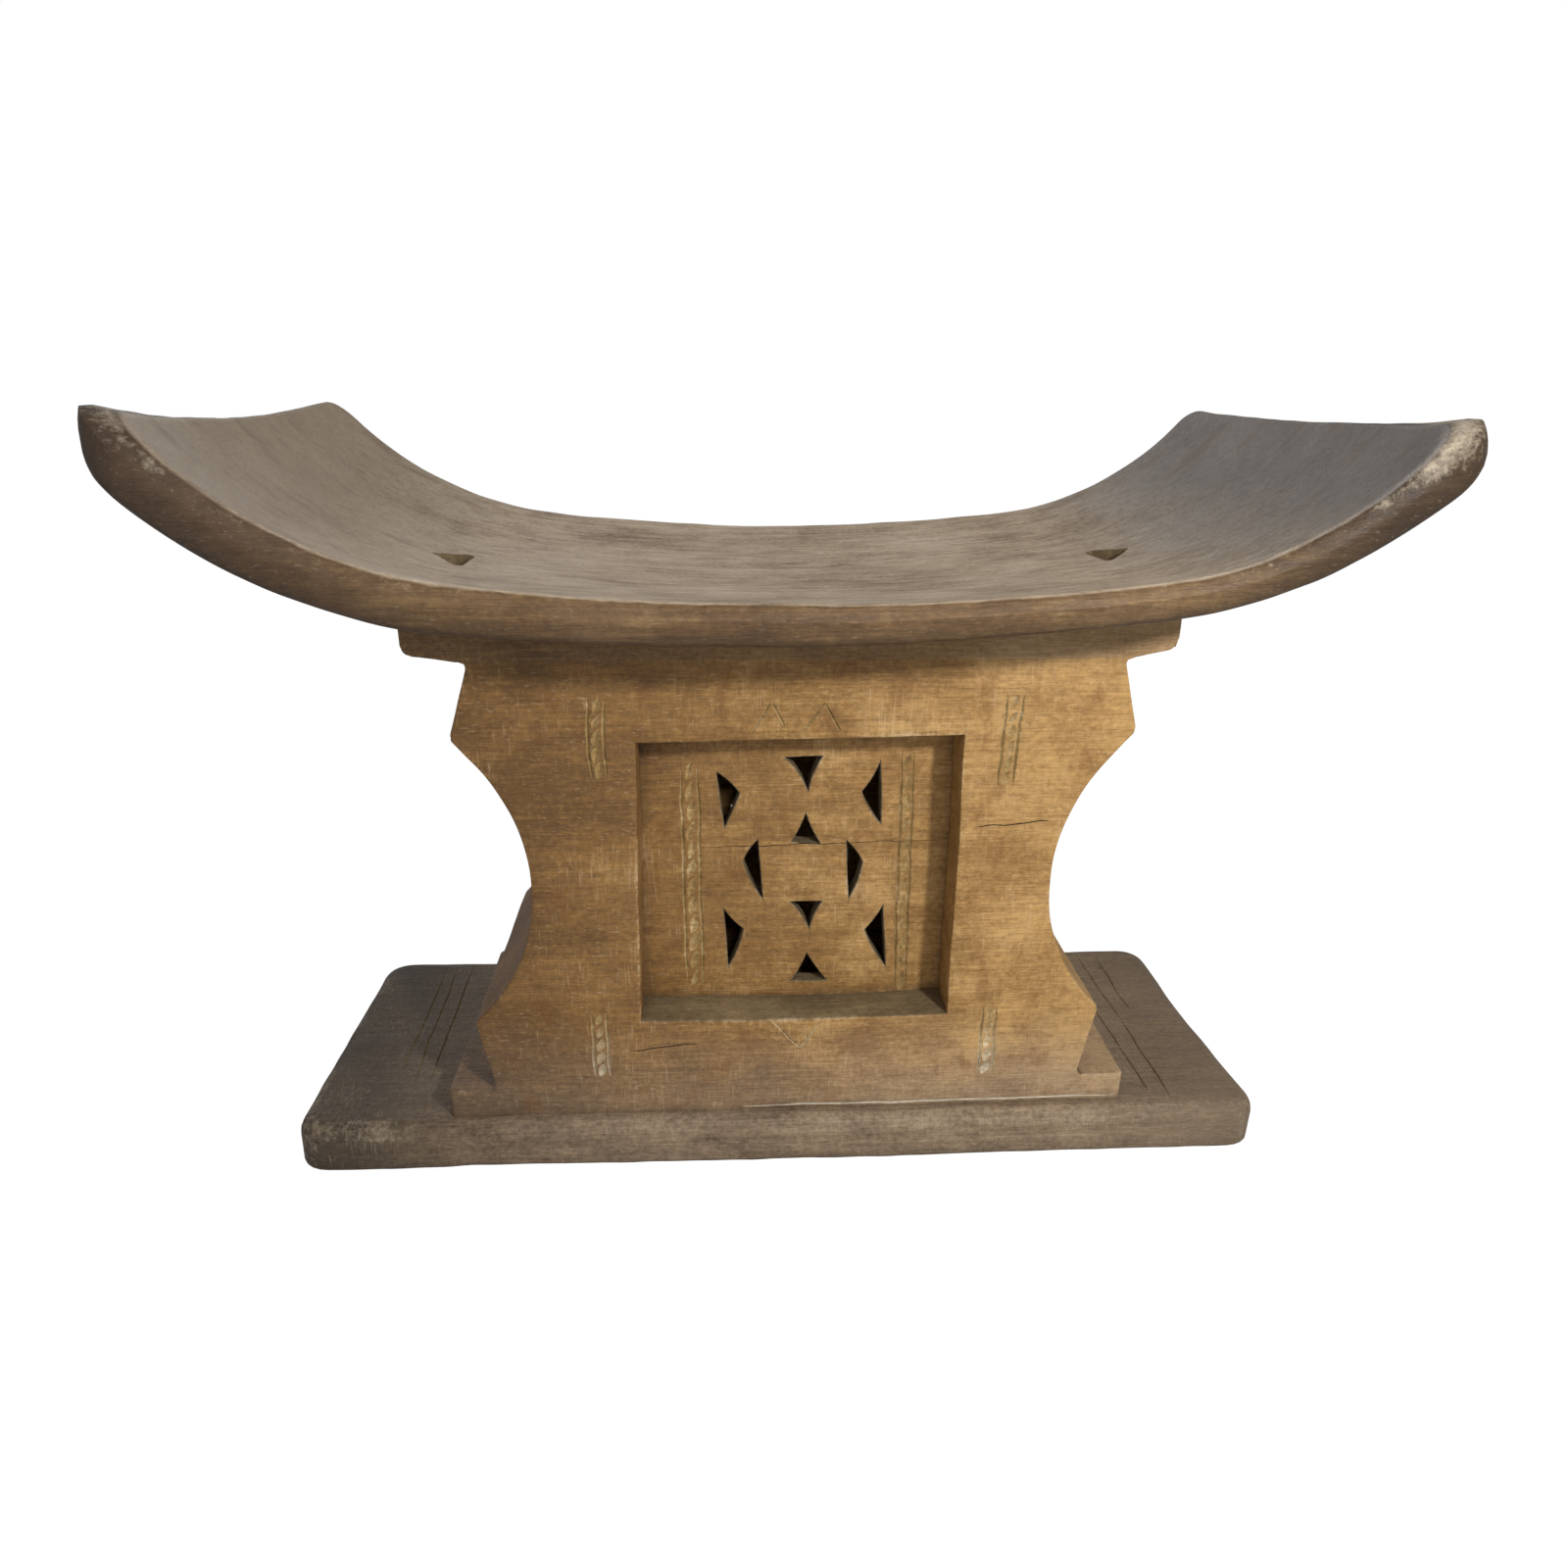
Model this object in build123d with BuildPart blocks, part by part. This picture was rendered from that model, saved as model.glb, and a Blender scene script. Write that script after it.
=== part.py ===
from build123d import *
from math import asin, cos, degrees, radians, sin
import os

# Asante stool in carved wood: a flat base, a low plinth, a waisted hollow column with a
# pierced panel sunk in its front and back, a thin platform and a curved, dished seat.
# Millimetres. +Z is up, X runs along the seat, Y from front to back, and the origin is
# the middle of the base's underside.

# ---------------------------------------------------------------- driving dimensions
fit_clearance = 0.3          # play round every stub, tongue and housing

# Base: the board that the stool stands on
base_width = 584.0
base_depth = 194.0
base_thickness = 29.0
base_corner_radius = 14.0
base_top_radius = 7.0
base_foot_radius = 4.0

# Plinth: the low step under the column, let into the base
plinth_width = 409.0
plinth_height = 18.0         # what stands above the base
plinth_housing_depth = 6.0   # what is let into the base
plinth_corner_radius = 4.0

# Column: its outline, seen from the front, is the same right through
column_depth = 173.0
column_height = 261.0
foot_width = 350.0
shoulder_width = 368.0
neck_width = 292.0
head_width = 347.0
lower_shoulder_height = 47.0  # above the plinth
upper_shoulder_drop = 41.0    # below the platform
shoulder_radius = 5.0
arris_radius = 1.5            # worn edges of the frames

# Frames: the front and back slabs of the column, each with a square window
frame_thickness = 34.0
window_width = 178.0
window_height = 172.0
window_offset = 3.0           # the window sits a little to one side
window_sill = 46.0            # above the plinth

# Panels: the pierced plates at the back of the windows
panel_recess = 28.0           # from the frame's face to the panel
panel_thickness = 10.0
panel_border = 10.0           # what the frame's rebate covers all round

# Pierced pattern: two hourglass rows with slits that point in, and between them one row
# with slits that point out
front_pattern_offset = 8.0    # beside the column's centre line, seen from that side
front_pattern_drop = 5.0      # below the window's centre
back_pattern_offset = -1.0
back_pattern_drop = 11.0
row_pitch = 45.0
hourglass_height = 54.0
hourglass_waist = 13.0        # wood left between the two points
hourglass_base = 21.0
slit_length = 39.0
slit_width = 10.5
slit_radius = 2.5
outer_slit_spacing = 94.0
inner_slit_spacing = 52.0

# End walls: the two sides of the column between the frames
hollow_width = 236.0          # inside, from wall to wall
tongue_thickness = 10.0       # on the walls, let into the frames
tongue_depth = 8.0
stub_thickness = 12.0         # on the frames, let into plinth and platform
stub_height = 6.0
stub_end_margin = 40.0        # from the column's foot to the stub's end

# Platform: the thin slab between column and seat, with an ear past each side
platform_width = 404.0
platform_thickness = 21.0     # up to the seat's edge; less where the seat bellies down
ear_rise = 4.5                # the ear's underside climbs outwards by this
ear_radius = 6.0
key_width = 200.0             # raised key on top, let into the seat
key_depth = 44.0
key_height = 8.0

# Seat: one thick plank, curved up at the ends and dished from front to back
seat_depth = 311.0
seat_thickness = 20.0
seat_flat_half_length = 163.0
seat_flat_radius = 1360.0
seat_end_radius = 197.0
seat_end_angle = 52.0         # slope of the seat at its tips, in degrees
seat_dish_depth = 14.0
seat_belly_depth = 11.0
seat_edge_radius = 5.0
seat_tip_radius = 4.0

# Cord holes: a three-cornered hole down through seat and platform beside each end of
# the column, pointing outwards
cord_hole_setback = 10.5      # from the column's head to the hole's long side
cord_hole_length = 42.0
cord_hole_width = 16.0

# ---------------------------------------------------------------- levels and places
plinth_top = base_thickness + plinth_height
plinth_bottom = base_thickness - plinth_housing_depth
column_top = plinth_top + column_height
seat_rim_level = column_top + platform_thickness + seat_thickness
front_y = -column_depth / 2
rebate_depth = frame_thickness - panel_recess
frame_stub_y = column_depth / 2 - frame_thickness / 2
window_center_z = plinth_top + window_sill + window_height / 2
stub_length = foot_width - 2 * stub_end_margin


def round_upright_edges(radius):
    """Round the four upright corners of the slab that is being built."""
    fillet(edges().filter_by(Axis.Z), radius=radius)


def column_outline():
    """The column seen from the front: shoulders above and below a round waist."""
    lower_shoulder = plinth_top + lower_shoulder_height
    upper_shoulder = column_top - upper_shoulder_drop
    with BuildSketch(mode=Mode.PRIVATE) as outline:
        with BuildLine():
            Polyline(
                (0, plinth_top),
                (foot_width / 2, plinth_top),
                (shoulder_width / 2, lower_shoulder),
            )
            ThreePointArc(
                (shoulder_width / 2, lower_shoulder),
                (neck_width / 2, (lower_shoulder + upper_shoulder) / 2),
                (shoulder_width / 2, upper_shoulder),
            )
            Polyline(
                (shoulder_width / 2, upper_shoulder),
                (head_width / 2, column_top),
                (0, column_top),
            )
            mirror(about=Plane.YZ)
        make_face()
        shoulders = outline.vertices().group_by(Axis.X)
        fillet(shoulders[0] + shoulders[-1], radius=shoulder_radius)
    return outline.sketch


def rocker_spans():
    """The seat's upper rim line as three arcs: centre x and z, radius, start and sweep."""
    joint_angle = asin(seat_flat_half_length / seat_flat_radius)
    flat_z = seat_rim_level + seat_flat_radius
    end_x = seat_flat_half_length - seat_end_radius * sin(joint_angle)
    end_z = flat_z - (seat_flat_radius - seat_end_radius) * cos(joint_angle)
    joint = degrees(joint_angle)
    return (
        (-end_x, end_z, seat_end_radius, -seat_end_angle, seat_end_angle - joint),
        (0, flat_z, seat_flat_radius, -joint, 2 * joint),
        (end_x, end_z, seat_end_radius, joint, seat_end_angle - joint),
    )


def sweep_along_rocker(dish, edge_radius=0.0, mode=Mode.ADD):
    """Turn the plank's section round each of the arcs, dished on top by that much."""
    for center_x, center_z, radius, start, turn in rocker_spans():
        spoke = Vector(sin(radians(start)), 0, -cos(radians(start)))
        center = Vector(center_x, 0, center_z)
        across = Plane(
            origin=center + spoke * radius,
            x_dir=(0, 1, 0),
            z_dir=(cos(radians(start)), 0, sin(radians(start))),
        )
        with BuildSketch(across, mode=Mode.PRIVATE) as section:
            with BuildLine():
                if dish > 0:
                    ThreePointArc((-seat_depth / 2, 0), (0, -dish), (seat_depth / 2, 0))
                else:
                    Line((-seat_depth / 2, 0), (seat_depth / 2, 0))
                Line((seat_depth / 2, 0), (seat_depth / 2, -seat_thickness))
                ThreePointArc(
                    (seat_depth / 2, -seat_thickness),
                    (0, -seat_thickness - seat_belly_depth),
                    (-seat_depth / 2, -seat_thickness),
                )
                Line((-seat_depth / 2, -seat_thickness), (-seat_depth / 2, 0))
            make_face()
            if edge_radius > 0:
                fillet(section.vertices(), radius=edge_radius)
        hinge = Axis(center, (0, -1, 0))
        revolve(section.sketch, axis=hinge, revolution_arc=turn, mode=mode)


def cord_holes(amount):
    """Cut both three-cornered cord holes up through the part, from the column's top."""
    near_x = head_width / 2 + cord_hole_setback
    with BuildSketch(Plane.XY.offset(column_top), mode=Mode.PRIVATE) as holes:
        with BuildLine():
            Polyline(
                (near_x, -cord_hole_length / 2),
                (near_x + cord_hole_width, 0),
                (near_x, cord_hole_length / 2),
                close=True,
            )
        make_face()
        mirror(about=Plane.YZ)
    extrude(holes.sketch, amount=amount, mode=Mode.SUBTRACT)


def slit(side_x, middle_z, width):
    """One slit of the pattern: a long upright side and a blunt point, width away."""
    with BuildSketch(mode=Mode.PRIVATE) as blank:
        with BuildLine():
            Polyline(
                (side_x, middle_z - slit_length / 2),
                (side_x, middle_z + slit_length / 2),
                (side_x + width, middle_z),
                close=True,
            )
        make_face()
        point = blank.vertices().sort_by_distance((side_x + width, middle_z))[0]
        fillet(point, radius=slit_radius)
    return blank.sketch


def hourglass(middle_x, middle_z):
    """Two three-cornered holes, point to point, one above the other."""
    with BuildSketch(mode=Mode.PRIVATE) as pair:
        for way in (1, -1):
            base_z = middle_z + way * hourglass_height / 2
            with BuildLine():
                Polyline(
                    (middle_x - hourglass_base / 2, base_z),
                    (middle_x + hourglass_base / 2, base_z),
                    (middle_x, middle_z + way * hourglass_waist / 2),
                    close=True,
                )
            make_face()
    return pair.sketch


def window_frame(label):
    """One slab of the column, made as the front one: window, rebate, grooves and stubs."""
    with BuildPart() as frame:
        with BuildSketch(Plane.XZ.offset(-front_y)):
            add(column_outline())
            with Locations((window_offset, window_center_z)):
                Rectangle(window_width, window_height, mode=Mode.SUBTRACT)
        extrude(amount=-frame_thickness)

        worn = frame.faces().sort_by(Axis.Y)[0].edges()
        worn = worn.filter_by(lambda edge: plinth_top < edge.center().Z < column_top)
        fillet(worn, radius=arris_radius)

        with BuildSketch(Plane.XZ.offset(-front_y - panel_recess)):
            with Locations((window_offset, window_center_z)):
                Rectangle(
                    window_width + 2 * (panel_border + fit_clearance),
                    window_height + 2 * (panel_border + fit_clearance),
                )
        extrude(amount=-rebate_depth, mode=Mode.SUBTRACT)

        with BuildSketch(Plane.XZ.offset(-front_y - frame_thickness)):
            for side in (-1, 1):
                with Locations((side * tongue_center_x, column_center_z)):
                    Rectangle(
                        tongue_thickness + 2 * fit_clearance,
                        tongue_height + 2 * fit_clearance,
                    )
        extrude(amount=tongue_depth + fit_clearance, mode=Mode.SUBTRACT)

        for level, way in ((plinth_top, -1), (column_top, 1)):
            with BuildSketch(Plane.XY.offset(level)):
                with Locations((0, -frame_stub_y)):
                    Rectangle(stub_length, stub_thickness)
            extrude(amount=way * stub_height)
    frame.part.label = label
    return frame.part


def stub_mortises(level, way):
    """Cut the two long mortises that the frames' stubs stand in."""
    with BuildSketch(Plane.XY.offset(level), mode=Mode.PRIVATE) as mortises:
        for side in (-1, 1):
            with Locations((0, side * frame_stub_y)):
                Rectangle(
                    stub_length + 2 * fit_clearance,
                    stub_thickness + 2 * fit_clearance,
                )
    depth = stub_height + fit_clearance
    extrude(mortises.sketch, amount=way * depth, mode=Mode.SUBTRACT)


def pierced_panel(label, pattern_x, pattern_z):
    """The plate that closes a window from behind, with the ten holes cut through it."""
    with BuildPart() as panel:
        with BuildSketch(Plane.XZ.offset(-front_y - panel_recess)):
            with Locations((window_offset, window_center_z)):
                Rectangle(window_width + 2 * panel_border, window_height + 2 * panel_border)
        extrude(amount=-panel_thickness)

        with BuildSketch(Plane.XZ.offset(-front_y - panel_recess)):
            for row_z in (pattern_z + row_pitch, pattern_z - row_pitch):
                add(hourglass(pattern_x, row_z))
                for side in (-1, 1):
                    outer_x = pattern_x + side * outer_slit_spacing / 2
                    add(slit(outer_x, row_z, -side * slit_width))
            for side in (-1, 1):
                inner_x = pattern_x + side * inner_slit_spacing / 2
                add(slit(inner_x, pattern_z, side * slit_width))
        extrude(amount=-panel_thickness, mode=Mode.SUBTRACT)
    panel.part.label = label
    return panel.part


def end_wall(label, side):
    """One side of the column, flush with the frames' outline, with a tongue each way."""
    wall_depth = column_depth - 2 * frame_thickness
    with BuildPart() as wall:
        with BuildSketch(Plane.XZ):
            add(column_outline())
            with Locations((-side * shoulder_width / 2, column_center_z)):
                Rectangle(
                    shoulder_width + hollow_width,
                    column_height,
                    mode=Mode.SUBTRACT,
                )
        extrude(amount=wall_depth / 2, both=True)
        with BuildSketch(Plane.XZ):
            with Locations((side * tongue_center_x, column_center_z)):
                Rectangle(tongue_thickness, tongue_height)
        extrude(amount=wall_depth / 2 + tongue_depth, both=True)
    wall.part.label = label
    return wall.part


# ---------------------------------------------------------------- base
# One board, rounded all round, with a shallow housing for the plinth.
with BuildPart() as base:
    with BuildSketch():
        Rectangle(base_width, base_depth)
    extrude(amount=base_thickness)
    round_upright_edges(base_corner_radius)
    fillet(base.faces().sort_by(Axis.Z)[-1].edges(), radius=base_top_radius)
    fillet(base.faces().sort_by(Axis.Z)[0].edges(), radius=base_foot_radius)
    with BuildSketch(Plane.XY.offset(plinth_bottom)):
        Rectangle(plinth_width + 2 * fit_clearance, column_depth + 2 * fit_clearance)
    extrude(amount=plinth_housing_depth, mode=Mode.SUBTRACT)
base.part.label = "base"

# ---------------------------------------------------------------- plinth
# A flat slab, flush with the column's faces; the frames' lower stubs stand in it.
with BuildPart() as plinth:
    with BuildSketch(Plane.XY.offset(plinth_bottom)):
        Rectangle(plinth_width, column_depth)
    extrude(amount=plinth_top - plinth_bottom)
    round_upright_edges(plinth_corner_radius)
    stub_mortises(plinth_top, -1)
plinth.part.label = "plinth"

# ---------------------------------------------------------------- column
# Two window frames, each with a pierced panel in its rebate, and two end walls whose
# tongues stand in grooves in the frames' backs. The back pair is the front pair turned.
column_center_z = plinth_top + column_height / 2
tongue_height = column_height - 2 * stub_end_margin
tongue_center_x = (hollow_width + tongue_thickness) / 2 + fit_clearance
front_frame = window_frame("front_frame")
front_panel = pierced_panel(
    "front_panel", front_pattern_offset, window_center_z - front_pattern_drop
)
back_frame = window_frame("back_frame").rotate(Axis.Z, 180)
back_panel = pierced_panel(
    "back_panel", back_pattern_offset, window_center_z - back_pattern_drop
)
back_panel = back_panel.rotate(Axis.Z, 180)
left_end_wall = end_wall("left_end_wall", -1)
right_end_wall = end_wall("right_end_wall", 1)

# ---------------------------------------------------------------- seat platform
# A slab on top of the column: its ears climb outwards, its top is hollowed to the
# seat's belly, and a raised key stands up into the seat.
with BuildPart() as seat_platform:
    with BuildSketch(Plane.XZ) as platform_side:
        with BuildLine():
            Polyline(
                (0, column_top),
                (head_width / 2, column_top),
                (platform_width / 2, column_top + ear_rise),
                (platform_width / 2, seat_rim_level),
                (0, seat_rim_level),
            )
            mirror(about=Plane.YZ)
        make_face()
        ear_tips = platform_side.vertices().group_by(Axis.Y)[1]
        fillet(ear_tips, radius=ear_radius)
    extrude(amount=column_depth / 2, both=True)

    sweep_along_rocker(dish=0, mode=Mode.SUBTRACT)

    with BuildSketch(Plane.XY.offset(column_top)):
        Rectangle(key_width, key_depth)
    extrude(amount=platform_thickness - seat_belly_depth + key_height)
    stub_mortises(column_top, 1)
    cord_holes(seat_rim_level - column_top)
seat_platform.part.label = "seat_platform"

# ---------------------------------------------------------------- seat
# One plank of even thickness, turned round the rocker's arcs, its tips and edges rounded.
with BuildPart() as seat:
    sweep_along_rocker(dish=seat_dish_depth, edge_radius=seat_edge_radius)
    tip_faces = seat.faces().filter_by(GeomType.PLANE).group_by(Axis.X)
    fillet(tip_faces[0].edges() + tip_faces[-1].edges(), radius=seat_tip_radius)

    with BuildSketch(Plane.XY.offset(column_top)):
        Rectangle(key_width + 2 * fit_clearance, key_depth + 2 * fit_clearance)
    extrude(
        amount=platform_thickness - seat_belly_depth + key_height + fit_clearance,
        mode=Mode.SUBTRACT,
    )
    cord_holes(seat_rim_level - column_top + seat_thickness)
seat.part.label = "seat"

# ---------------------------------------------------------------- write the pieces
os.makedirs("parts", exist_ok=True)
for piece in (
    base.part,
    plinth.part,
    front_frame,
    front_panel,
    back_frame,
    back_panel,
    left_end_wall,
    right_end_wall,
    seat_platform.part,
    seat.part,
):
    export_step(piece, f"parts/{piece.label}.step")
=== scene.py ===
from math import asin, atan2, ceil, cos, hypot, pi, radians, sin, tan
from math import floor as round_down

import bmesh
import bpy
from mathutils import Matrix, Vector, noise
from mathutils.kdtree import KDTree


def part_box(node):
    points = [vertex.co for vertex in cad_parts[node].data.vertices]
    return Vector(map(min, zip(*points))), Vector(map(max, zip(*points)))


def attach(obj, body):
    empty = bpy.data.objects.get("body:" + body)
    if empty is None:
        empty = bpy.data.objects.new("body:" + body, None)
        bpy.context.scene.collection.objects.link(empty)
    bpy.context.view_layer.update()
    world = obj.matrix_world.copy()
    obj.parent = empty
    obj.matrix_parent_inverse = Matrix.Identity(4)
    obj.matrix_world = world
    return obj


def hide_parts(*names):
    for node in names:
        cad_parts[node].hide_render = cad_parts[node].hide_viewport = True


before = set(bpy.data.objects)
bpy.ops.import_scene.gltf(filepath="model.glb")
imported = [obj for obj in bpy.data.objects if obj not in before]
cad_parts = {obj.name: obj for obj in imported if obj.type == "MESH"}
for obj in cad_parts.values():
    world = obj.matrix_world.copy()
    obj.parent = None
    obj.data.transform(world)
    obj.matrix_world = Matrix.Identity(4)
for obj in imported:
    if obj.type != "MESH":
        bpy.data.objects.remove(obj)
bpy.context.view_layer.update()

# ================================================================ base board
# A flat board, the foot of the stool, cut from the same log as everything above it. Its
# edges are rounded by wear, and knife lines run across its top at both ends.
BASE_CORNERS = ((-0.2968, -0.0948), (0.2912, -0.0998), (0.2876, 0.1030), (-0.2938, 0.1060))
BASE_CORNER_RADIUS = 0.019
BASE_TOP_RADIUS = 0.0105
BASE_FOOT_RADIUS = 0.0022
BASE_FRONT_BULGE = 0.0014    # how far the front face stands out in the middle
BASE_SIDE_HOLLOW = 0.0028    # how far the right-hand side is worn in between its corners
BASE_BULGE_HALF = 0.3        # from the middle to where the bulge ends
BASE_HALF_DEPTH = 0.1
BASE_HOLLOW_START = 0.2      # from here to the side the wear draws the board in more and more
BASE_HOLLOW_REACH = 0.09
BASE_WAVER = 0.0012          # how far its faces stray from true
BASE_LINES = (
    ((-0.2392, 0.096), (-0.2356, -0.062)),
    ((-0.2279, 0.096), (-0.2262, -0.052)),
    ((-0.2466, 0.087), (-0.2464, -0.043)),
    ((0.2335, 0.090), (0.2378, 0.000)),
    ((0.2379, 0.003), (0.2362, -0.088)),
    ((0.2478, 0.083), (0.2482, 0.010)),
    ((0.2232, 0.014), (0.2242, -0.035)),
    ((0.2240, -0.030), (0.2251, -0.080)),
)
BASE_SHAKES = (
    ((0.2375, -0.0045), (0.2760, -0.0064)), ((0.2560, -0.0210), (0.2810, -0.0236)),
    ((0.2440, -0.0652), (0.2800, -0.0690)),
)
KNIFE_WIDTH = 0.0016
KNIFE_DEPTH = 0.0008
KNIFE_WOBBLE = 0.0008        # how far a cut strays from straight
SHAKE_WIDTH = 0.0008
SHAKE_WOBBLE = 0.001


def colour(code):
    """The linear colour, with alpha, of an sRGB hex code."""
    shares = [int(code[place:place + 2], 16) / 255 for place in (1, 3, 5)]
    return [s / 12.92 if s <= 0.04045 else ((s + 0.055) / 1.055) ** 2.4 for s in shares] + [1.0]


def add_node(tree, kind, inputs=None, output=0, **settings):
    """Add a shader node with its settings and its inputs' values or links, and give an output."""
    node = tree.nodes.new("ShaderNode" + kind)
    for name, value in settings.items():
        setattr(node, name, value)
    for key, value in (inputs or {}).items():
        if isinstance(value, bpy.types.NodeSocket):
            tree.links.new(value, node.inputs[key])
        else:
            node.inputs[key].default_value = value
    return node.outputs[output]


def aged_wood(
        name, tones, worn, dirt_and_shade, roughness, ground_tones=None, open_tones=None, painted_light_tilt=0.0,
        scrapes=(0.28, 0.28), end_tones=(), stain=None, weights=(0.62, 0.3, 0.2, 0.3, 0.5),
        painted_corner_shade=0.6):
    """Hand-carved hardwood with an old patina: blotched, streaked along X, rubbed pale on its
    edges and painted dark in its corners as painted shade. It turns to the ground tones below
    the column's foot, or to the open tones where its attribute says that it lies open; then its
    under attribute paints shade onto the lower rim and underside. The tilt paints it paler
    towards the right, the side the key light comes from: painted light. The end tones are for
    its left and right end, first where it lies open, the scrapes say how strong nicks and
    upright scratches are, the weights how strong patches, blotches, streaks, grain and crumbs
    are, the grime how dark its painted corner shade is, and the dirt colour darkens both its
    smudges and its painted shade."""
    wood = bpy.data.materials.new(name)
    wood.use_nodes = True
    tree = wood.node_tree
    tree.nodes.clear()
    place = add_node(tree, "TexCoord", output="Object")
    millimetres = add_node(tree, "VectorMath", {0: place, "Scale": 1000.0}, operation="SCALE")
    across = add_node(tree, "SeparateXYZ", {0: millimetres}, output="X")
    height = add_node(tree, "SeparateXYZ", {0: millimetres}, output="Z")

    def marks(size, detail=3.0, roughness=0.6, turn=(0, 0, 0)):
        """Noise whose marks are that many millimetres long in x, y and z."""
        sized = add_node(tree, "Mapping", {
            "Vector": millimetres, "Rotation": turn, "Scale": [1 / length for length in size]})
        return add_node(tree, "TexNoise", {
            "Vector": sized, "Scale": 1.0, "Detail": detail, "Roughness": roughness})

    def share(value, start, end, most=1.0):
        """How far a value has come from start to end, up to the most."""
        return add_node(tree, "MapRange", {
            "Value": value, "From Min": start, "From Max": end, "To Max": most})

    def lay_over(skin, amount, code):
        """Cover the skin with another colour by that amount."""
        return add_node(tree, "MixRGB", {"Fac": amount, "Color1": skin, "Color2": colour(code)})

    patch = marks((64, 64, 50), detail=4.0, roughness=0.62)
    blotch = marks((24, 10, 10), detail=5.0, roughness=0.68)
    streak = marks((120, 4.5, 4.5), detail=4.0)
    grain = marks((42, 1.6, 1.6))
    # torn fibres are a third as wide as this, too fine to show
    fibre = marks((8, 0.8, 0.8), detail=2.0)
    crumbs = marks((3.2, 3.2, 3.2), detail=4.0, roughness=0.7)
    upright = marks((1.0, 5, 15), detail=2.0, turn=(0, 0.08, 0))

    # painted light: the tilt makes it paler towards the right, where the key light comes from
    tone = add_node(tree, "Math", {0: across, 1: painted_light_tilt}, operation="MULTIPLY")
    for marking, weight in zip((patch, blotch, streak, grain, crumbs), weights):
        tone = add_node(tree, "Math", {0: marking, 1: weight, 2: tone}, operation="MULTIPLY_ADD")
    middle = sum(weights) / 2
    to_mid = share(tone, middle - 0.24, middle)
    to_pale = share(tone, middle, middle + 0.24)
    skins = []
    for deep, mid, pale in filter(None, (ground_tones or open_tones, tones)):
        lower = add_node(tree, "MixRGB", {
            "Fac": to_mid, "Color1": colour(deep), "Color2": colour(mid)})
        skins.append(lay_over(lower, to_pale, pale))
    for layer, codes in enumerate(end_tones):
        for way, code in zip((-1, 1), codes):
            outward = add_node(tree, "Math", {0: patch, 1: 90.0}, operation="MULTIPLY")
            outward = add_node(tree, "Math", {
                0: across, 1: way, 2: outward}, operation="MULTIPLY_ADD")
            skins[layer] = lay_over(skins[layer], share(outward, 215.0, 310.0, most=0.75), code)
    skin = skins[-1]
    if ground_tones:
        ragged = add_node(tree, "Math", {0: patch, 1: 70.0, 2: height}, operation="MULTIPLY_ADD")
        skin = add_node(tree, "MixRGB", {
            "Fac": share(ragged, 72.0, 128.0), "Color1": skins[0], "Color2": skins[1]})
    if open_tones:
        lies_open = add_node(tree, "Attribute", output="Fac", attribute_name="open")
        ragged = add_node(tree, "Math", {0: patch, 1: 0.7, 2: lies_open}, operation="MULTIPLY_ADD")
        skin = add_node(tree, "MixRGB", {
            "Fac": share(ragged, 0.62, 1.05), "Color1": skins[1], "Color2": skins[0]})
        # painted shade: darker towards the seat's lower rim and underside, by the under attribute
        under = add_node(tree, "Attribute", output="Fac", attribute_name="under")
        skin = lay_over(skin, share(under, 0.35, 1.0, most=0.45), dirt_and_shade)

    # fibres shade it a little
    shade = add_node(tree, "MapRange", {
        "Value": fibre, "From Min": 0.3, "From Max": 0.7, "To Min": 0.84, "To Max": 1.16})
    skin = add_node(tree, "VectorMath", {0: skin, "Scale": shade}, operation="SCALE")

    # old oil and dark smudges, and pale nicks along and across the grain
    if stain:
        code, size, most = stain
        skin = lay_over(skin, share(marks(size, detail=4.0), 0.55, 0.68, most=most), code)
    smudge = marks((15, 5, 3.5), detail=4.0, roughness=0.65)
    skin = lay_over(skin, share(smudge, 0.62, 0.74, most=0.35), dirt_and_shade)
    nick = marks((4.5, 1.1, 1.1), detail=1.0, turn=(0, -0.2, 0))
    nick_line = share(nick, 0.66, 0.74, most=scrapes[0])
    skin = lay_over(skin, nick_line, worn)
    scraped = add_node(tree, "Math", {0: patch, 1: 0.6, 2: upright}, operation="MULTIPLY_ADD")
    skin = lay_over(skin, share(scraped, 0.91, 1.05, most=scrapes[1]), worn)

    # edges rubbed or chipped pale, broken up by crumbs and patches
    wear = add_node(tree, "Attribute", output="Fac", attribute_name="wear")
    worn_field = add_node(tree, "Math", {0: wear, 1: 0.6}, operation="MULTIPLY")
    for marking, weight in ((crumbs, 0.9), (patch, 1.2)):
        worn_field = add_node(tree, "Math", {
            0: marking, 1: weight, 2: worn_field}, operation="MULTIPLY_ADD")
    gate = add_node(tree, "Math", {0: wear, 1: 8.0}, operation="MULTIPLY", use_clamp=True)
    chips = add_node(tree, "Math", {
        0: share(worn_field, 1.66, 2.05, most=0.8), 1: gate}, operation="MULTIPLY")
    skin = lay_over(skin, chips, worn)

    # painted shade in the corners, crevices and cuts, from ambient occlusion out to 12 mm
    openness = add_node(tree, "AmbientOcclusion", {"Distance": 0.012}, output="AO", samples=6)
    skin = lay_over(skin, share(openness, 0.85, 0.25, most=painted_corner_shade), dirt_and_shade)

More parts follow.
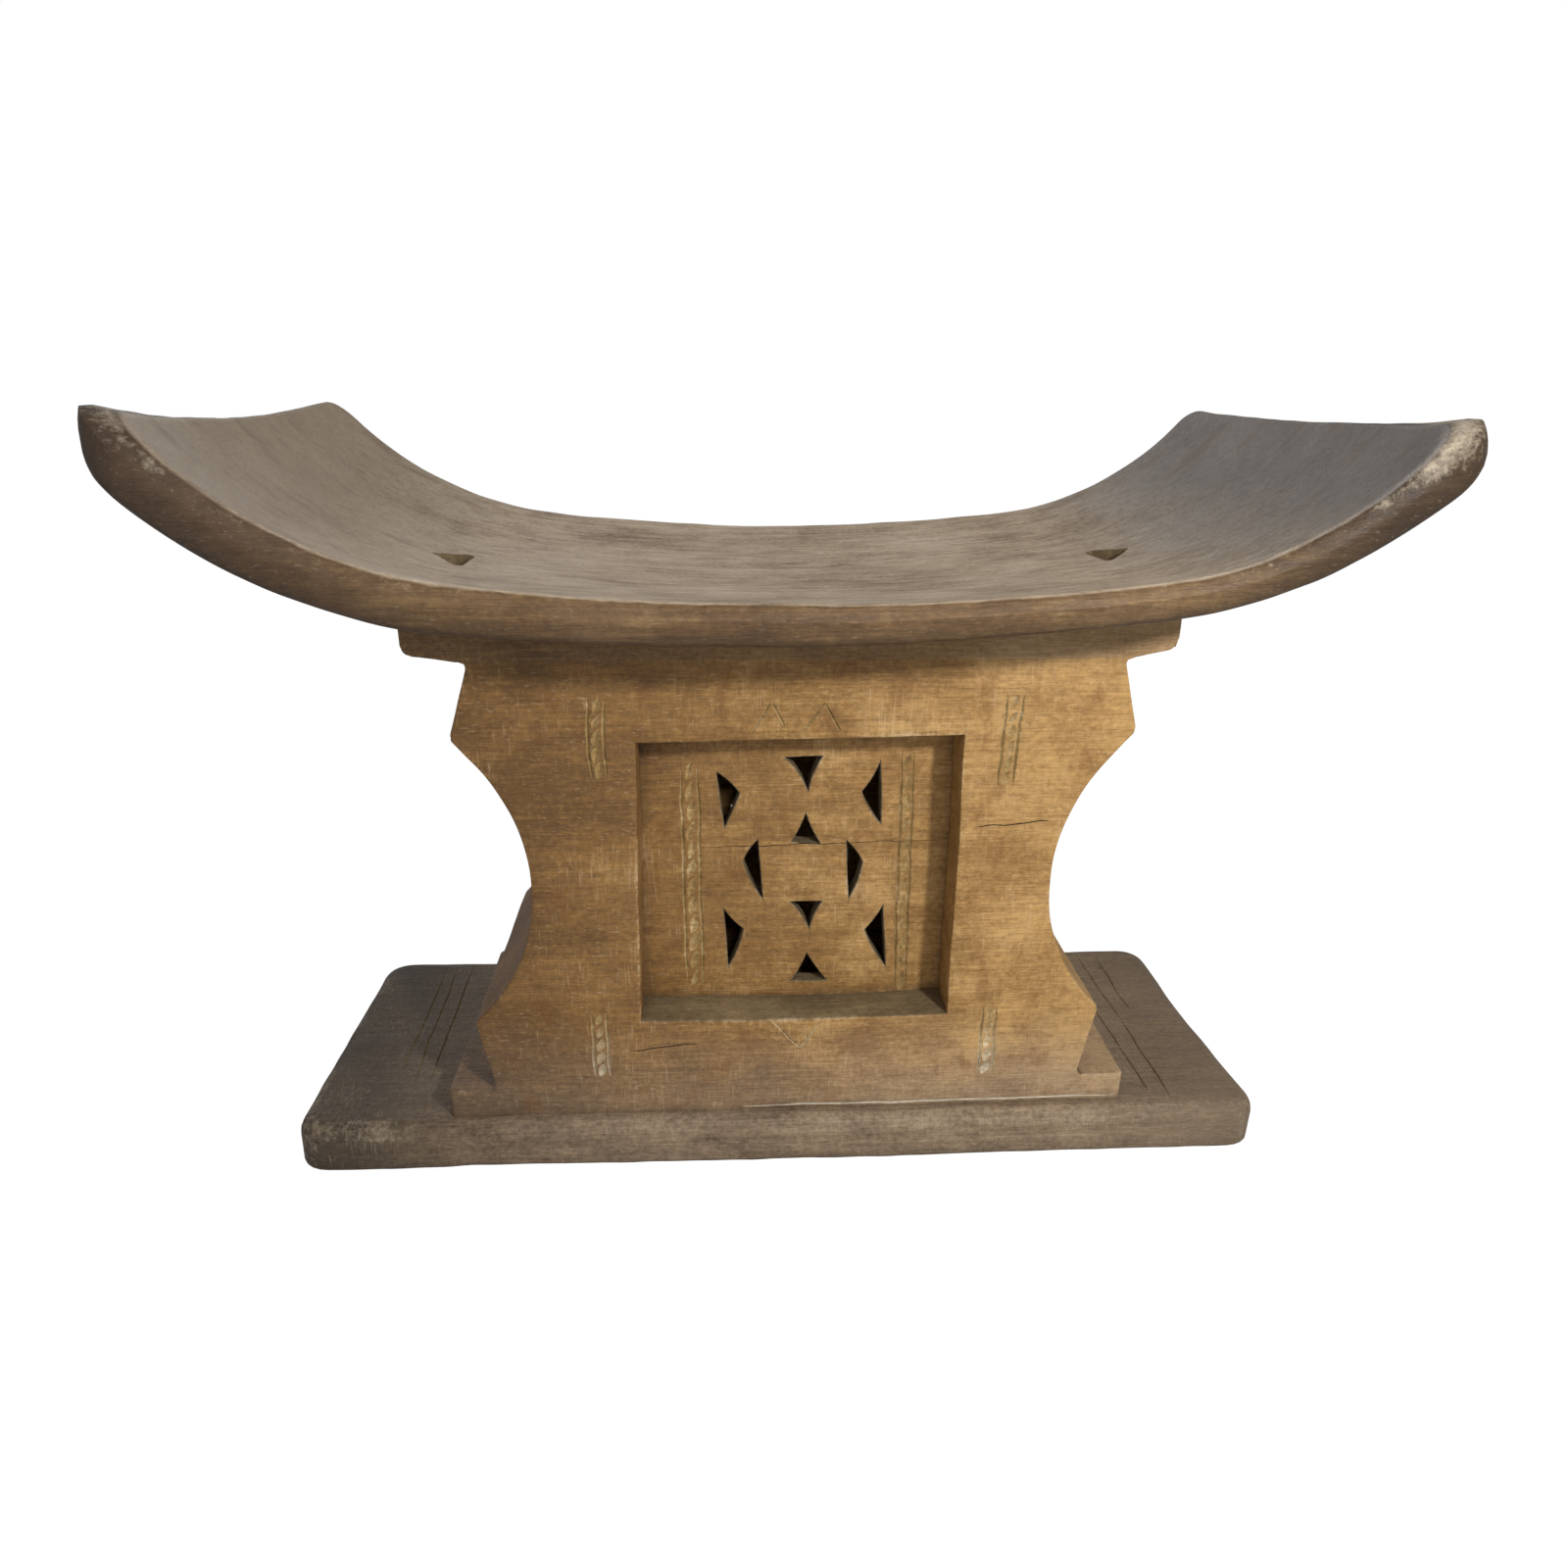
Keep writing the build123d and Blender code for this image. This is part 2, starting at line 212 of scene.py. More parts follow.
    relief = add_node(tree, "Math", {0: grain, 1: fibre}, operation="ADD")
    relief = add_node(tree, "Math", {0: upright, 1: 0.3, 2: relief}, operation="MULTIPLY_ADD")
    relief = add_node(tree, "Math", {0: nick_line, 1: -0.5, 2: relief}, operation="MULTIPLY_ADD")
    relief = add_node(tree, "Math", {0: crumbs, 1: chips, 2: relief}, operation="MULTIPLY_ADD")
    bump = add_node(tree, "Bump", {"Height": relief, "Strength": 0.6, "Distance": 0.0006})
    shine = add_node(tree, "MapRange", {
        "Value": blotch, "From Min": 0.3, "From Max": 0.7,
        "To Min": roughness - 0.08, "To Max": roughness + 0.1})
    surface = add_node(tree, "BsdfPrincipled", {
        "Base Color": skin, "Roughness": shine, "Normal": bump, "Specular IOR Level": 0.35})
    end = tree.nodes.new("ShaderNodeOutputMaterial")
    tree.links.new(surface, end.inputs["Surface"])
    return wood


# aged hardwood, golden where hands and light reach it and grey-brown near the floor,
# painted paler towards the right as painted light
column_wood = aged_wood(
    "patinated_hardwood", tones=("#684A27", "#8E6938", "#B99259"),
    ground_tones=("#66523D", "#8A7053", "#AA9070"), worn="#C9B08A", dirt_and_shade="#33241A",
    roughness=0.62, painted_light_tilt=0.0010, stain=("#6E451C", (15, 15, 24), 0.4))
# the same wood where a knife has opened it: pale, with dust in the cut
cut_wood = aged_wood(
    "knife_cut_hardwood", tones=("#6B5230", "#A0824F", "#DCC79C"),
    ground_tones=("#8A7C66", "#BCB09A", "#DDD4C2"), worn="#DCCDB0", dirt_and_shade="#4A3722",
    roughness=0.8, scrapes=(0, 0), painted_corner_shade=0.2)
# the dark inside of a drying crack
crack_wood = aged_wood(
    "cracked_hardwood", tones=("#1F140B", "#2C1E12", "#3A2818"), worn="#4A3722",
    dirt_and_shade="#120C07", roughness=0.85, scrapes=(0, 0))
# the walls of holes, which no hand reaches: greyed by dust
dusty_wood = aged_wood(
    "dusty_hardwood", tones=("#56472F", "#786648", "#98845F"), worn="#B5A68C", dirt_and_shade="#3A2D20",
    roughness=0.85, scrapes=(0, 0))
# the base: greyer and dirtier than the column, painted much darker towards its left end,
# partly as painted shade
base_wood = aged_wood(
    "floor_worn_hardwood", tones=("#4E3F2E", "#826E57", "#A69174"), worn="#A6947A",
    dirt_and_shade="#2B2118", roughness=0.68, end_tones=(("#281F17", "#766550"),),
    weights=(0.5, 0.35, 0.25, 0.3, 0.55))
# the platform under the seat: browner and more even, since the seat shades it, and
# painted paler towards the right as painted light
platform_wood = aged_wood(
    "shaded_hardwood", tones=("#664A2C", "#8A6A42", "#A98B63"), worn="#C2A983",
    dirt_and_shade="#33241A", roughness=0.62, painted_light_tilt=0.0010, scrapes=(0.2, 0.1))
WOODS = (column_wood, cut_wood, crack_wood, dusty_wood)
BASE_WOODS = (base_wood, dusty_wood, crack_wood, dusty_wood)
CUT, CRACK, DUSTY = 1, 2, 3


def slice_up(bm, spacing=0.006, axes=(0, 1, 2)):
    """Cut the surface across each axis at that spacing, so that it can take uneven shapes."""
    tiny = 1e-6
    for axis in axes:
        normal = Vector([float(axis == i) for i in range(3)])
        low = min(v.co[axis] for v in bm.verts)
        high = max(v.co[axis] for v in bm.verts)
        ahead = bm.faces[:]
        for step in range(ceil(low / spacing), round_down(high / spacing) + 1):
            place = step * spacing
            ahead = [f for f in ahead if max(v.co[axis] for v in f.verts) > place + tiny]
            crossing = dict.fromkeys(
                f for f in ahead if min(v.co[axis] for v in f.verts) < place - tiny)
            if not crossing:
                continue
            edges = dict.fromkeys(e for f in crossing for e in f.edges)
            verts = dict.fromkeys(v for f in crossing for v in f.verts)
            cut = bmesh.ops.bisect_plane(
                bm, geom=[*verts, *edges, *crossing], dist=tiny,
                plane_co=normal * place, plane_no=normal)
            pieces = [g for g in cut["geom"] if isinstance(g, bmesh.types.BMFace)]
            ahead = [f for f in ahead if f not in crossing] + pieces


BROAD_WAVES = 0.075          # the lengths of the waves that an adze leaves in a face
CLOSE_WAVES = 0.019
CLOSE_SHARE = 0.4            # how high the close ones are, beside the broad ones
noise.seed_set(5)            # or the waves would lie elsewhere in each run


def hand_work(bm, amount=0.0009):
    """Move each point by a smooth offset that depends on its place alone, as an adze leaves
    it. Pieces that meet are moved alike and stay together."""
    for v in bm.verts:
        broad = noise.noise_vector(v.co / BROAD_WAVES)
        close = noise.noise_vector(v.co / CLOSE_WAVES)
        v.co += amount * (broad + CLOSE_SHARE * close)


NEAR = 1e-5                  # what lies nearer than this touches
RUBBED_ANGLE = radians(14)   # a flatter edge isn't rubbed
SHARP_ANGLE = 0.5            # a flatter edge is no true edge of the block


def touches(place, level):
    """Whether a coordinate lies at a level, but for rounding."""
    return abs(place - level) < NEAR


def edges_along(bm, test):
    """The edges whose two ends both pass the test."""
    return [e for e in bm.edges if test(e.verts[0].co) and test(e.verts[1].co)]


def sharp_edges_along(bm, test):
    """Those of them that are true edges of the block."""
    return [e for e in edges_along(bm, test) if e.calc_face_angle(0) > SHARP_ANGLE]


def upright_edges(bm):
    """The edges that run from a block's underside to its top."""
    return [e for e in bm.edges if abs(e.verts[0].co.z - e.verts[1].co.z) > 0.01]


def round_edges(bm, edges, radius, segments):
    """Round edges off with that many facets."""
    bmesh.ops.bevel(
        bm, geom=edges, affect="EDGES", offset=radius, segments=segments, profile=0.5,
        material=-1)


def mark_wear(bm, reach=0.0045, joints=()):
    """Note on each point how near it is to an outer edge, where hands and feet rub. Edges of
    knife cuts aren't rubbed, nor those that lie in a joint, given as an axis and a place."""
    wear = bm.verts.layers.float.new("wear")
    bm.normal_update()
    rubbed = [
        e for e in bm.edges
        if e.is_manifold and e.is_convex and e.calc_face_angle() > RUBBED_ANGLE
        and not any(f.material_index in (CUT, CRACK) for f in e.link_faces)
        and not any(
            touches(v.co[axis], level) and touches(w.co[axis], level)
            for axis, level in joints for v, w in [e.verts])
    ]
    near = KDTree(3 * len(rubbed))
    for e in rubbed:
        a, b = e.verts
        for point in (a.co, b.co, (a.co + b.co) / 2):
            near.insert(point, 0)
    near.balance()
    for v in bm.verts:
        distance = near.find(v.co)[2] if rubbed else None
        v[wear] = max(0.0, 1.0 - distance / reach) if distance is not None else 0.0


CUT_NARROWING = 0.85         # how much narrower and shallower a cut is at its ends
WOBBLE_WAVES = 0.012


def knife_cut(
        cutters, start, end, face_normal, width, depth, wobble, material=CUT, bends=7, point=5):
    """Add the shape of one V cut between two points of a face, narrowing at both ends. The
    lower the point's power, the further from its middle the cut begins to narrow."""
    along = Vector(end) - Vector(start)
    length = along.length
    along.normalize()
    out = Vector(face_normal)
    across = out.cross(along).normalized()
    count = len(cutters.verts)
    added = bmesh.ops.create_cone(
        cutters, cap_ends=True, segments=4, radius1=1.0, radius2=1.0, depth=1.0)["verts"]
    lengthways = dict.fromkeys(
        e for v in added for e in v.link_edges
        if abs(e.verts[0].co.z - e.verts[1].co.z) > 0.5)
    bmesh.ops.subdivide_edges(cutters, edges=list(lengthways), cuts=bends)
    cutters.verts.ensure_lookup_table()
    made = cutters.verts[count:]
    middle = (Vector(start) + Vector(end)) / 2
    for v in made:
        taper = 1.0 - CUT_NARROWING * abs(2 * v.co.z) ** point
        local = v.co.copy()
        v.co = (
            middle + along * local.z * length + across * local.x * taper * width / 2
            + out * local.y * taper * depth)
        v.co += across * wobble * noise.noise(v.co / WOBBLE_WAVES)
    for f in {f for v in made for f in v.link_faces}:
        f.material_index = material


def carve_out(bm, cutters):
    """Take the cutters' shapes out of the piece. The cut faces keep the cutters' materials."""
    solids = []
    for name, source in (("piece", bm), ("cutters", cutters)):
        mesh = bpy.data.meshes.new(name)
        source.to_mesh(mesh)
        for wood in WOODS:
            mesh.materials.append(wood)
        solid = bpy.data.objects.new(name, mesh)
        bpy.context.scene.collection.objects.link(solid)
        solids.append(solid)
    piece, tool = solids
    cut = piece.modifiers.new("cut", "BOOLEAN")
    cut.operation = "DIFFERENCE"
    cut.solver = "EXACT"
    cut.use_self = True
    cut.material_mode = "INDEX"
    cut.object = tool
    depsgraph = bpy.context.evaluated_depsgraph_get()
    result = bpy.data.meshes.new_from_object(piece.evaluated_get(depsgraph))
    bm.clear()
    bm.from_mesh(result)
    cutters.free()
    for solid in solids:
        mesh = solid.data
        bpy.data.objects.remove(solid)
        bpy.data.meshes.remove(mesh)
    bpy.data.meshes.remove(result)


CREASE_ANGLE = radians(30)


def finish_piece(bm, name, node, woods=WOODS):
    """Make the mesh object that stands for a node, smooth but for its true edges."""
    bmesh.ops.recalc_face_normals(bm, faces=bm.faces[:])
    mesh = bpy.data.meshes.new(name)
    bm.to_mesh(mesh)
    bm.free()
    for wood in woods:
        mesh.materials.append(wood)
    mesh.shade_smooth()
    mesh.set_sharp_from_angle(angle=CREASE_ANGLE)
    piece = bpy.data.objects.new(name, mesh)
    bpy.context.scene.collection.objects.link(piece)
    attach(piece, "root")
    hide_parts(node)


base_low, base_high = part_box("base")
base = bmesh.new()
bmesh.ops.create_cube(base, size=1.0)
for v in base.verts:
    right = int(v.co.x > 0)
    corner = BASE_CORNERS[right if v.co.y < 0 else 3 - right]
    v.co = Vector((*corner, base_high.z if v.co.z > 0 else base_low.z))
round_edges(base, upright_edges(base), BASE_CORNER_RADIUS, 6)
for level, radius in ((base_high.z, BASE_TOP_RADIUS), (base_low.z, BASE_FOOT_RADIUS)):
    round_edges(base, edges_along(base, lambda co: touches(co.z, level)), radius, 5)
base_cuts = bmesh.new()
for cuts, width, wobble in (
        (BASE_LINES, KNIFE_WIDTH, KNIFE_WOBBLE), (BASE_SHAKES, SHAKE_WIDTH, SHAKE_WOBBLE)):
    for start, end in cuts:
        knife_cut(
            base_cuts, (*start, base_high.z), (*end, base_high.z), (0, 0, 1), width,
            KNIFE_DEPTH, wobble)
carve_out(base, base_cuts)
slice_up(base)
mark_wear(base, reach=0.007)
for v in base.verts:
    if v.co.y < 0:
        bulge = cos(v.co.x / BASE_BULGE_HALF * pi / 2)
        v.co.y += BASE_FRONT_BULGE * bulge * v.co.y / BASE_HALF_DEPTH
    if v.co.x > BASE_HOLLOW_START:
        hollow = max(0.0, cos(v.co.y / BASE_HALF_DEPTH * pi / 2))
        v.co.x -= BASE_SIDE_HOLLOW * hollow * (v.co.x - BASE_HOLLOW_START) / BASE_HOLLOW_REACH
hand_work(base, BASE_WAVER)
for v in base.verts:
    v.co.z = max(v.co.z, base_low.z)
finish_piece(base, "base_board", "base", woods=BASE_WOODS)

# ================================================================ plinth
# The low step that the column stands on. Its faces run flush into the column's, and only
# its two ears have edges of their own, rubbed pale on top.
FOOT_EDGE = 0.179            # where the column's foot runs out on the plinth
PLINTH_CORNER_RADIUS = 0.004
EAR_EDGE_RADIUS = 0.0016
DUST_LINE = ((-0.03, 0.0310), (0.2005, 0.0314))
DUST_LINE_WIDTH = 0.0014
DUST_LINE_DEPTH = 0.0008
DUST_LINE_WOBBLE = 0.0006
plinth_low, plinth_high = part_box("plinth")
front_y = plinth_low.y
back_y = plinth_high.y
plinth_top = plinth_high.z

plinth = bmesh.new()
bmesh.ops.create_cube(plinth, size=1.0)
for v in plinth.verts:
    v.co = Vector([
        plinth_low[axis] if v.co[axis] < 0 else plinth_high[axis] for axis in range(3)])
round_edges(plinth, upright_edges(plinth), PLINTH_CORNER_RADIUS, 4)
for foot_edge in (-FOOT_EDGE, FOOT_EDGE):
    bmesh.ops.bisect_plane(
        plinth, geom=plinth.verts[:] + plinth.edges[:] + plinth.faces[:], dist=1e-6,
        plane_co=(foot_edge, 0, 0), plane_no=(1, 0, 0))
ear_edges = [
    e for e in sharp_edges_along(plinth, lambda co: touches(co.z, plinth_top))
    if abs(e.verts[0].co.x + e.verts[1].co.x) / 2 > FOOT_EDGE
]
round_edges(plinth, ear_edges, EAR_EDGE_RADIUS, 3)


def on_face(point, y_face):
    """A point of a face that looks to the front, from its x and z."""
    return Vector((point[0], y_face, point[1]))


def carve_lines(bm, lines, y_face, width, depth, wobble, **look):
    """Carve cuts out of a face that looks to the front, each given by its two ends."""
    cutters = bmesh.new()
    for start, end in lines:
        knife_cut(
            cutters, on_face(start, y_face), on_face(end, y_face), (0, -1, 0), width, depth,
            wobble, **look)
    carve_out(bm, cutters)


carve_lines(
    plinth, [DUST_LINE], front_y, DUST_LINE_WIDTH, DUST_LINE_DEPTH, DUST_LINE_WOBBLE, bends=24)
slice_up(plinth)
mark_wear(plinth, joints=[(2, plinth_top), (2, plinth_low.z)])
hand_work(plinth)
finish_piece(plinth, "plinth_step", "plinth")

# ================================================================ column frames
# The front and back of the hollow column: two slabs with waisted sides, each with a square
# window. Knife lines with a twisted chip border stand beside the windows, with small
# engraved triangles above and below. Their foot and head run out in a small hollow.
frame_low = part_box("front_frame")[0]
column_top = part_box("left_end_wall")[1].z
LOWER_SHOULDER = Vector((0.184, 0.094))
UPPER_SHOULDER = Vector((0.184, 0.267))
NECK = Vector((0.146, 0.1805))
LOWER_SHOULDER_RADIUS = 0.006
UPPER_SHOULDER_RADIUS = 0.005
WAIST_STEPS = 44
SHOULDER_STEPS = 3           # how many of them each shoulder's rounding takes up
FOOT_HALF = 0.175
HEAD_HALF = 0.1728
HOLLOW_RADIUS = 0.004
HEAD_LEAN = 0.0026           # the column's head stands this much to the right of its foot
LEFT_FULLNESS = 0.0028       # the waist's upper half isn't cut quite as deep as its lower half
RIGHT_FULLNESS = 0.0020
FRAME_DEPTH = 0.034
FRAME_EDGE_RADIUS = 0.0012


def arc(start, through, end, steps):
    """Points along the circle through three points of a plane, with both ends."""
    ax, ay, bx, by, cx, cy = *start, *through, *end
    a, b, c = ax**2 + ay**2, bx**2 + by**2, cx**2 + cy**2
    d = 2 * (ax * (by - cy) + bx * (cy - ay) + cx * (ay - by))
    ux = (a * (by - cy) + b * (cy - ay) + c * (ay - by)) / d
    uy = (a * (cx - bx) + b * (ax - cx) + c * (bx - ax)) / d
    radius = hypot(ax - ux, ay - uy)
    first = atan2(ay - uy, ax - ux)
    middle = (atan2(by - uy, bx - ux) - first + pi) % (2 * pi) - pi
    last = (atan2(cy - uy, cx - ux) - first + pi) % (2 * pi) - pi
    if middle * last < 0 or abs(last) < abs(middle):
        last += 2 * pi if middle > 0 else -2 * pi
    return [
        (ux + radius * cos(first + last * i / steps), uy + radius * sin(first + last * i / steps))
        for i in range(steps + 1)
    ]


def rounded(before, corner, after, radius):
    """Points that round off a corner of a polygon."""
    before, corner, after = Vector(before), Vector(corner), Vector(after)
    to_before = (before - corner).normalized()
    to_after = (after - corner).normalized()
    half = to_before.angle(to_after) / 2
    reach = radius / tan(half)
    toward = (to_before + to_after).normalized()
    center = corner + toward * radius / sin(half)
    nearest = center - toward * radius
    return arc(corner + to_before * reach, nearest, corner + to_after * reach, 4)


def column_side():
    """The column's right-hand outline from foot to head: hollow, shoulder, waist, shoulder."""
    waist = arc(LOWER_SHOULDER, NECK, UPPER_SHOULDER, WAIST_STEPS)
    waist = waist[SHOULDER_STEPS:-SHOULDER_STEPS]
    # each hollow by its two ends and a point between them
    side = arc(
        (FOOT_HALF + HOLLOW_RADIUS, plinth_top), (FOOT_HALF + 0.0014, plinth_top + 0.0012),
        (FOOT_HALF + 0.0008, plinth_top + HOLLOW_RADIUS + 0.0003), 4)
    side += rounded(side[-1], LOWER_SHOULDER, waist[0], LOWER_SHOULDER_RADIUS)
    side += waist
    head = arc(
        (HEAD_HALF + 0.0010, column_top - HOLLOW_RADIUS), (HEAD_HALF + 0.0016, column_top - 0.0013),
        (HEAD_HALF + HOLLOW_RADIUS, column_top), 4)
    side += rounded(waist[-1], UPPER_SHOULDER, head[0], UPPER_SHOULDER_RADIUS)
    return side + head


def lean(x, z):
    """Shift a point of the column's side as the carver's eye let it stray."""
    share = (z - plinth_top) / (column_top - plinth_top)
    fullness = -LEFT_FULLNESS if x < 0 else RIGHT_FULLNESS
    rise = min(1.0, max(0.0, (z - NECK.y) / (UPPER_SHOULDER.y - NECK.y)))
    full = rise ** 1.5 * (1 - rise ** 20)
    return x + HEAD_LEAN * max(0.0, share) ** 3 + fullness * full


def draw_out(bm, faces, reach):
    """Draw faces out to a solid."""
    drawn = bmesh.ops.extrude_face_region(bm, geom=faces, use_keep_orig=True)["geom"]
    bmesh.ops.translate(
        bm, vec=reach, verts=[g for g in drawn if isinstance(g, bmesh.types.BMVert)])


def slab(bm, outline, holes, y_front, y_back):
    """Fill the outline round its holes and draw the face back to the slab's thickness."""
    border = []
    for loop in (outline, *holes):
        verts = [bm.verts.new((x, y_front, z)) for x, z in loop]
        border += [bm.edges.new((verts[i - 1], verts[i])) for i in range(len(verts))]
    faces = bmesh.ops.triangle_fill(bm, use_beauty=True, use_dissolve=False, edges=border)["geom"]
    faces = [g for g in faces if isinstance(g, bmesh.types.BMFace)]
    draw_out(bm, faces, (0, y_back - y_front, 0))
    bmesh.ops.recalc_face_normals(bm, faces=bm.faces[:])


WINDOW = (
    (-0.0850, 0.2632), (0.0918, 0.2655), (0.0925, 0.0926), (0.0010, 0.0905), (-0.0880, 0.0926))
# each border: lower and upper end of its middle line, and its width
FRAME_BORDERS = (
    ((-0.1058, 0.2440), (-0.1056, 0.2885), 0.0085),
    ((0.1160, 0.2365), (0.1180, 0.2880), 0.0085),
    ((-0.1122, 0.0550), (-0.1125, 0.0985), 0.0085),
    ((0.1180, 0.0495), (0.1180, 0.0970), 0.0085),
)
ENGRAVED = (
    ((-0.0229, 0.2678), (-0.0130, 0.2856)), ((-0.0130, 0.2856), (-0.0057, 0.2715)),
    ((0.0048, 0.2692), (0.0155, 0.2853)), ((0.0155, 0.2853), (0.0248, 0.2679)),
    ((-0.0129, 0.0902), (0.0047, 0.0707)), ((0.0047, 0.0707), (0.0156, 0.0874)),
)
ENGRAVED_WIDTH = 0.0016
ENGRAVED_DEPTH = 0.0012
ENGRAVED_WOBBLE = 0.0006
FRAME_CRACKS = (
    ((0.0990, 0.2128), (0.1440, 0.2150)), ((-0.0960, 0.0722), (-0.0550, 0.0765)),
)
CRACK_WIDTH = 0.0007
CRACK_DEPTH = 0.0015
CRACK_WOBBLE = 0.0014
LINE_WIDTH = 0.0021
LINE_DEPTH = 0.0014
LINE_WOBBLE = 0.0008
FRAME_TWIST = 0.0090         # from one slanting cut of a twisted border to the next
TWIST_WIDTH = 0.0046
TWIST_DEPTH = 0.0017
TWIST_WOBBLE = 0.0012
TWIST_ACROSS = 0.36          # how far each reaches across and along its border, as shares
TWIST_ALONG = 0.48
STRAY_WAVES = 0.004          # the cuts' lengths and widths stray, each by its place
STRAY_LENGTH = 0.14
STRAY_WIDTH = 0.3


def twisted_borders(bm, borders, y_face, pitch):
    """Cut pairs of upright lines, and then between each pair a row of slanting cuts, uneven as
    a knife leaves them, so that a twisted ridge stands between the lines."""
    lines, twists = [], bmesh.new()
    for bottom, top, width in borders:
        bottom, top = Vector(bottom), Vector(top)
        along = (top - bottom).normalized()
        side = Vector((along.y, -along.x)) * width / 2
        lines += [(bottom - side, top - side), (bottom + side, top + side)]
        count = round((top - bottom).length / pitch)
        step = (top - bottom) / count
        for i in range(count):
            middle = bottom + step * (i + 0.5)
            stray = noise.noise(on_face(middle, 0) / STRAY_WAVES)
            reach = side * TWIST_ACROSS + step * (TWIST_ALONG + STRAY_LENGTH * stray)
            knife_cut(
                twists, on_face(middle - reach, y_face), on_face(middle + reach, y_face),
                (0, -1, 0), TWIST_WIDTH * (1 + STRAY_WIDTH * stray), TWIST_DEPTH, TWIST_WOBBLE,
                point=2)
    carve_lines(bm, lines, y_face, LINE_WIDTH, LINE_DEPTH, LINE_WOBBLE, bends=16)
    carve_out(bm, twists)


def turn_round(bm):
    """Turn a piece made for the front half round, to the back."""
    bmesh.ops.rotate(bm, cent=(0, 0, 0), matrix=Matrix.Rotation(pi, 3, "Z"), verts=bm.verts[:])


def window_frame(name, node, turned):
    """One slab of the column, made as the front one and turned half round for the back."""
    side = column_side()
    outline = [(lean(x, z), z) for x, z in side] + [(lean(-x, z), z) for x, z in reversed(side)]
    if turned:
        outline = [(-x, z) for x, z in reversed(outline)]
    bm = bmesh.new()
    slab(bm, outline, [WINDOW], frame_low.y, frame_low.y + FRAME_DEPTH)
    for f in bm.faces:
        if f.normal.z > 0.9 and f.calc_center_median().z < NECK.y:
            f.material_index = DUSTY
    window_rim = sharp_edges_along(
        bm, lambda co: touches(co.y, frame_low.y)
        and any((co.xz - Vector(corner)).length < NEAR for corner in WINDOW))
    outer_rim = [
        e for e in sharp_edges_along(
            bm, lambda co: touches(co.y, frame_low.y)
            and plinth_top + NEAR < co.z < column_top - NEAR)
        if e not in window_rim
    ]
    round_edges(bm, window_rim + outer_rim, FRAME_EDGE_RADIUS, 2)
    twisted_borders(bm, FRAME_BORDERS, frame_low.y, FRAME_TWIST)
    # strokes that meet are carved one after the other
    for strokes in (ENGRAVED[::2], ENGRAVED[1::2]):
        carve_lines(bm, strokes, frame_low.y, ENGRAVED_WIDTH, ENGRAVED_DEPTH, ENGRAVED_WOBBLE)
    carve_lines(
        bm, FRAME_CRACKS, frame_low.y, CRACK_WIDTH, CRACK_DEPTH, CRACK_WOBBLE, material=CRACK,
        bends=14)
    if turned:
        turn_round(bm)
    slice_up(bm)
    inner_y = (frame_low.y + FRAME_DEPTH) * (-1 if turned else 1)
    mark_wear(bm, joints=[(2, plinth_top), (2, column_top), (1, inner_y)])
    hand_work(bm)
    finish_piece(bm, name, node)


window_frame("front_window_frame", "front_frame", turned=False)
window_frame("back_window_frame", "back_frame", turned=True)

# ================================================================ pierced panels
# A thin plate at the back of each window, pierced with ten small three-cornered holes and
# bordered left and right by two knife lines with twisted chips between them.
PANEL_RECESS = 0.028         # how far behind the frame's face the panel's face lies
PANEL_THICKNESS = 0.010
PANEL_BORDER = 0.0025        # what runs in behind the window's edge
PANEL_WEAR_REACH = 0.0025
WINDOW_CENTER = Vector((0.003, 0.179))
# each hole as it was cut by eye: its corners, and how far each side bows outwards
HOLES = (
    ((-0.0038, 0.2448), (0.0173, 0.2452), (0.0093, 0.2246), (0.0002, -0.0010, -0.0012)),
    ((0.0084, 0.2107), (0.0173, 0.1915), (0.0004, 0.1928), (-0.0006, 0.0003, -0.0008)),
    ((-0.0426, 0.2366), (-0.0296, 0.2240), (-0.0382, 0.2030), (0.0008, 0.0003, 0.0002)),
    ((0.0506, 0.2410), (0.0522, 0.2035), (0.0406, 0.2236), (0.0002, 0.0012, -0.0010)),
    ((-0.0193, 0.1945), (-0.0163, 0.1567), (-0.0276, 0.1811), (0.0002, 0.0014, 0.0009)),
    ((0.0328, 0.1930), (0.0428, 0.1792), (0.0354, 0.1563), (0.0008, 0.0012, 0.0002)),
    ((0.0002, 0.1540), (0.0193, 0.1545), (0.0118, 0.1366), (0.0002, -0.0009, -0.0012)),
    ((0.0103, 0.1195), (0.0221, 0.1013), (0.0008, 0.1012), (-0.0004, 0.0002, -0.0005)),
    ((-0.0393, 0.1500), (-0.0285, 0.1368), (-0.0371, 0.1120), (-0.0008, 0.0012, 0.0002)),
    ((0.0559, 0.1507), (0.0586, 0.1100), (0.0454, 0.1345), (0.0002, 0.0012, -0.0007)),
)
HOLES_REACH = 0.095          # they all lie within this of the window's centre
HOLE_EDGE_RADIUS = 0.0006
BACK_HOLES_SHIFT = Vector((-0.009, -0.006))  # the back's stand further to one side, and lower
PANEL_BORDERS = (
    ((-0.0570, 0.0985), (-0.0582, 0.2440), 0.0095),
    ((0.0686, 0.0925), (0.0664, 0.2475), 0.0068),
)
PANEL_TWIST = 0.0125
PANEL_CRACK = ((-0.0560, 0.1906), (0.0905, 0.1923))
PANEL_CRACK_WIDTH = 0.00049


def bowed_hole(first, second, third, bows):
    """The outline of one hole, its three sides bowed a little as a knife leaves them."""
    corners = [Vector(corner) for corner in (first, second, third)]
    center = sum(corners, Vector((0, 0))) / 3
    outline = []
    for i, bow in enumerate(bows):
        start, end = corners[i], corners[(i + 1) % 3]
        middle = (start + end) / 2
        side = (end - start).normalized()
        outward = Vector((side.y, -side.x))
        if outward.dot(middle - center) < 0:
            outward.negate()
        outline += arc(start, middle + outward * bow, end, 6)[:-1]
    return outline


